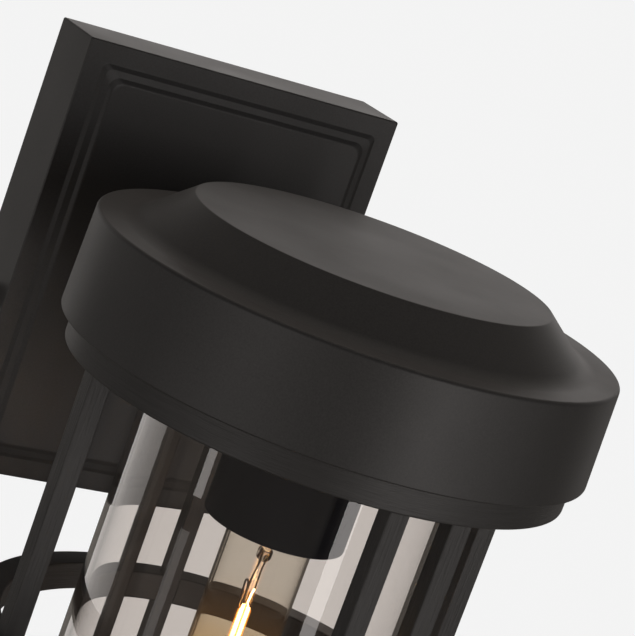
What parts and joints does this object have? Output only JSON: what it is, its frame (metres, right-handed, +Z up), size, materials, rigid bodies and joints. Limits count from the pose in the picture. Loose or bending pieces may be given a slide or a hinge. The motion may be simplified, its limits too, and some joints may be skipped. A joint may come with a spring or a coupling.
{
  "type": "wall lantern",
  "caption": "Outdoor wall lantern: flat spun cap, square-bar round cage with a hoop, open glass cylinder, tubular filament lamp, short arm from a stepped rectangular wall box.",
  "frame": {"origin": "middle of the wall bracket's back face, on the wall", "axes": "+Y into the wall, +Z up, +X to the right of someone who faces the wall"},
  "size_m": [0.2024, 0.2694, 0.3281],
  "materials": {
    "black_paint": "satin black powder coat, fine texture",
    "cup_paint": "semi-gloss black, smooth",
    "zinc": "bright zinc plate",
    "nickel": "nickel plate",
    "brass": "plain stamped",
    "solder": "dull",
    "clear_glass": "clear, smooth",
    "lamp_glass": "amber tinted, clear",
    "dark_glass": "black vitrite, glossy",
    "filament": "glowing tungsten",
    "silicone": "matt, translucent white",
    "rubber": "closed-cell foam",
    "porcelain": "glazed white",
    "green_zinc": "green-dyed zinc plate",
    "wire_black": "silicone sleeve",
    "wire_white": "silicone sleeve",
    "wire_nut_plastic": "moulded"
  },
  "bodies": {
    "fixture": {"arm_collar": "black_paint", "arm_nut_cap": "zinc", "arm_nut_wall": "zinc", "arm_stud": "zinc", "arm_tube": "black_paint", "arm_washer_cap": "zinc", "arm_washer_wall": "zinc", "base_plate": "black_paint", "base_ring": "black_paint", "base_screw_1": "black_paint", "base_screw_2": "black_paint", "base_screw_3": "black_paint", "base_screw_4": "black_paint", "cage_bar_back_left": "black_paint", "cage_bar_back_right": "black_paint", "cage_bar_front_left": "black_paint", "cage_bar_front_right": "black_paint", "cage_bar_left": "black_paint", "cage_bar_right": "black_paint", "cage_hoop": "black_paint", "cage_ring_top": "black_paint", "cage_screw_1": "zinc", "cage_screw_2": "zinc", "cage_screw_3": "zinc", "cage_screw_4": "zinc", "cap_plate": "zinc", "cap_shell": "black_paint", "cap_standoff_1": "zinc", "cap_standoff_2": "zinc", "cap_standoff_3": "zinc", "cap_standoff_4": "zinc", "glass_cylinder": "clear_glass", "glass_gasket_bottom": "silicone", "glass_gasket_top": "silicone", "ground_screw": "green_zinc", "lampholder_body": "porcelain", "lampholder_contact": "brass", "lampholder_shell": "brass", "nipple_nut_bottom": "zinc", "nipple_nut_top": "zinc", "nipple_washer": "zinc", "socket_cup": "cup_paint", "socket_nipple": "zinc", "wall_box": "black_paint", "wall_bracket": "zinc", "wall_gasket": "rubber", "wire_live": "wire_black", "wire_neutral": "wire_white", "wire_nut_live": "wire_nut_plastic", "wire_nut_neutral": "wire_nut_plastic"},
    "left_thumb_screw": {"side_screw_left": "black_paint"},
    "right_thumb_screw": {"side_screw_right": "black_paint"},
    "lamp_travel": {"bulb_contact": "solder", "bulb_insulator": "dark_glass"},
    "lamp": {"bulb_base": "nickel", "bulb_glass": "lamp_glass", "bulb_stem": "clear_glass", "bulb_lead_short": "nickel", "bulb_lead_long": "nickel", "bulb_filament": "filament"}
  },
  "joints": [
    {"name": "left_screw_turn", "type": "hinge", "parent": "fixture", "child": "left_thumb_screw", "pos_m": [-0.07255, -0.0174, 0], "axis": [-1, 0, 0], "continuous": true},
    {"name": "right_screw_turn", "type": "hinge", "parent": "fixture", "child": "right_thumb_screw", "pos_m": [0.07255, -0.0174, 0], "axis": [1, 0, 0], "continuous": true},
    {"name": "lamp_advance", "type": "slide", "parent": "fixture", "child": "lamp_travel", "axis": [0, 0, -1], "range_m": [0, 0.0128]},
    {"name": "lamp_turn", "type": "hinge", "parent": "lamp_travel", "child": "lamp", "pos_m": [0, -0.1682, 0], "axis": [0, 0, -1], "range_deg": [0, 1260]}
  ],
  "couplings": [
    {"joint": "lamp_advance", "follows": "lamp_turn", "m_per_rad": 0.0005776}
  ]
}
